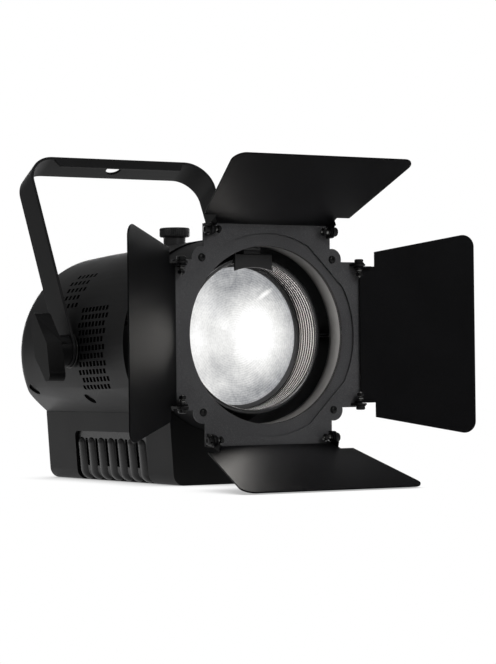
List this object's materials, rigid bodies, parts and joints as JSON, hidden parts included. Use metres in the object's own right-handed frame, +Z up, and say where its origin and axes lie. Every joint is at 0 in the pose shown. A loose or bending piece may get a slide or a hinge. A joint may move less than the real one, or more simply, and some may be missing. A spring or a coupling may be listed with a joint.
{
  "type": "fresnel spotlight",
  "caption": "Black stage spotlight: vented round body on a louvred base, sliding lens tube, rotating barn doors and a tilting yoke bracket.",
  "frame": {"origin": "on the floor, under the yoke pivot, in the base's middle plane", "axes": "+X to the lamp's left as seen from its front (right in the picture), -Y towards the light's exit, +Z up"},
  "size_m": [0.4269, 0.5068, 0.3536],
  "materials": {
    "black_cast": "cast, black powder coat",
    "black_sheet": "sheet steel, fine black powder coat",
    "dark_frame": "sheet steel, satin black",
    "black_plastic": "moulded black",
    "button_rubber": "dark grey",
    "bare_aluminium": "extruded, bare",
    "black_aluminium": "turned, black anodised",
    "bright_steel": "zinc plated",
    "black_screw": "blackened",
    "lens_glass": "pressed, pebbled back",
    "white_board": "white solder mask",
    "green_board": "circuit board",
    "supply_case": "folded sheet",
    "display_glass": "dark window",
    "power_plastic": "moulded",
    "data_socket": "nickel plated"
  },
  "bodies": {
    "housing": {"top_cover": "black_cast", "base_tray": "black_cast", "base_plate": "black_sheet", "louvre_left": "black_cast", "louvre_right": "black_cast", "snout": "black_cast", "front_ring": "dark_frame", "bulkhead": "bare_aluminium", "guide_rods": "bright_steel", "led_board": "white_board", "heat_sink": "bare_aluminium", "fan_frame": "black_plastic", "power_supply": "supply_case", "driver_board": "green_board", "rear_panel": "black_sheet", "rear_screws": "black_screw", "display": "display_glass", "power_in": "power_plastic", "power_out": "power_plastic", "data_in": "data_socket", "data_out": "data_socket", "fuse_holder": "black_plastic", "safety_eye": "bright_steel", "pivot_bushes": "bright_steel", "flank_screws": "black_screw"},
    "fan": {"fan_rotor": "black_plastic"},
    "carriage": {"lens_tube": "black_aluminium", "fresnel_lens": "lens_glass", "lens_ring": "black_aluminium", "arm_block": "black_plastic", "zoom_arm": "bright_steel", "zoom_stud": "bright_steel"},
    "zoom_lock": {"zoom_knob": "black_plastic"},
    "yoke": {"yoke": "black_sheet"},
    "knob_left": {"tilt_knob_left": "black_plastic"},
    "knob_right": {"tilt_knob_right": "black_plastic"},
    "barn": {"barn_frame": "dark_frame", "frame_retainer": "black_sheet", "frame_screws": "black_screw", "hinge_bolts_top": "bright_steel", "hinge_bolts_right": "bright_steel", "hinge_bolts_bottom": "bright_steel", "hinge_bolts_left": "bright_steel"},
    "leaf_top": {"door_top": "black_sheet"},
    "leaf_right": {"door_right": "black_sheet"},
    "leaf_bottom": {"door_bottom": "black_sheet"},
    "leaf_left": {"door_left": "black_sheet"},
    "press_1": {"button_1": "button_rubber"},
    "press_2": {"button_2": "button_rubber"},
    "press_3": {"button_3": "button_rubber"},
    "press_4": {"button_4": "button_rubber"}
  },
  "joints": [
    {"name": "yoke_tilt", "type": "hinge", "parent": "housing", "child": "yoke", "pos_m": [0, 0, 0.14], "axis": [1, 0, 0], "range_deg": [-62, 66]},
    {"name": "knob_left_turn", "type": "hinge", "parent": "housing", "child": "knob_left", "pos_m": [0, 0, 0.14], "axis": [-1, 0, 0], "range_deg": [-180, 180]},
    {"name": "knob_right_turn", "type": "hinge", "parent": "housing", "child": "knob_right", "pos_m": [0, 0, 0.14], "axis": [1, 0, 0], "range_deg": [-180, 180]},
    {"name": "zoom_slide", "type": "slide", "parent": "housing", "child": "carriage", "axis": [0, 1, 0], "range_m": [0, 0.08]},
    {"name": "zoom_lock_turn", "type": "hinge", "parent": "carriage", "child": "zoom_lock", "pos_m": [0, -0.031, 0.26], "axis": [0, 0, 1], "range_deg": [-180, 180]},
    {"name": "barn_rotate", "type": "hinge", "parent": "housing", "child": "barn", "pos_m": [0, -0.22, 0.152], "axis": [0, 1, 0], "range_deg": [-180, 180]},
    {"name": "door_top_hinge", "type": "hinge", "parent": "barn", "child": "leaf_top", "pos_m": [0, -0.2297, 0.256], "axis": [1, 0, 0], "range_deg": [-66, 117]},
    {"name": "door_right_hinge", "type": "hinge", "parent": "barn", "child": "leaf_right", "pos_m": [0.104, -0.2297, 0.152], "axis": [0, 0, 1], "range_deg": [-145, 24]},
    {"name": "door_bottom_hinge", "type": "hinge", "parent": "barn", "child": "leaf_bottom", "pos_m": [0, -0.2297, 0.048], "axis": [-1, 0, 0], "range_deg": [-76, 93]},
    {"name": "door_left_hinge", "type": "hinge", "parent": "barn", "child": "leaf_left", "pos_m": [-0.104, -0.2297, 0.152], "axis": [0, 0, -1], "range_deg": [-138, 45]},
    {"name": "fan_spin", "type": "hinge", "parent": "housing", "child": "fan", "pos_m": [0, 0.04, 0.152], "axis": [0, 1, 0], "continuous": true},
    {"name": "button_1_press", "type": "slide", "parent": "housing", "child": "press_1", "axis": [0, -1, 0], "range_m": [0, 0.0012], "stiffness_N_per_m": 800},
    {"name": "button_2_press", "type": "slide", "parent": "housing", "child": "press_2", "axis": [0, -1, 0], "range_m": [0, 0.0012], "stiffness_N_per_m": 800},
    {"name": "button_3_press", "type": "slide", "parent": "housing", "child": "press_3", "axis": [0, -1, 0], "range_m": [0, 0.0012], "stiffness_N_per_m": 800},
    {"name": "button_4_press", "type": "slide", "parent": "housing", "child": "press_4", "axis": [0, -1, 0], "range_m": [0, 0.0012], "stiffness_N_per_m": 800}
  ]
}
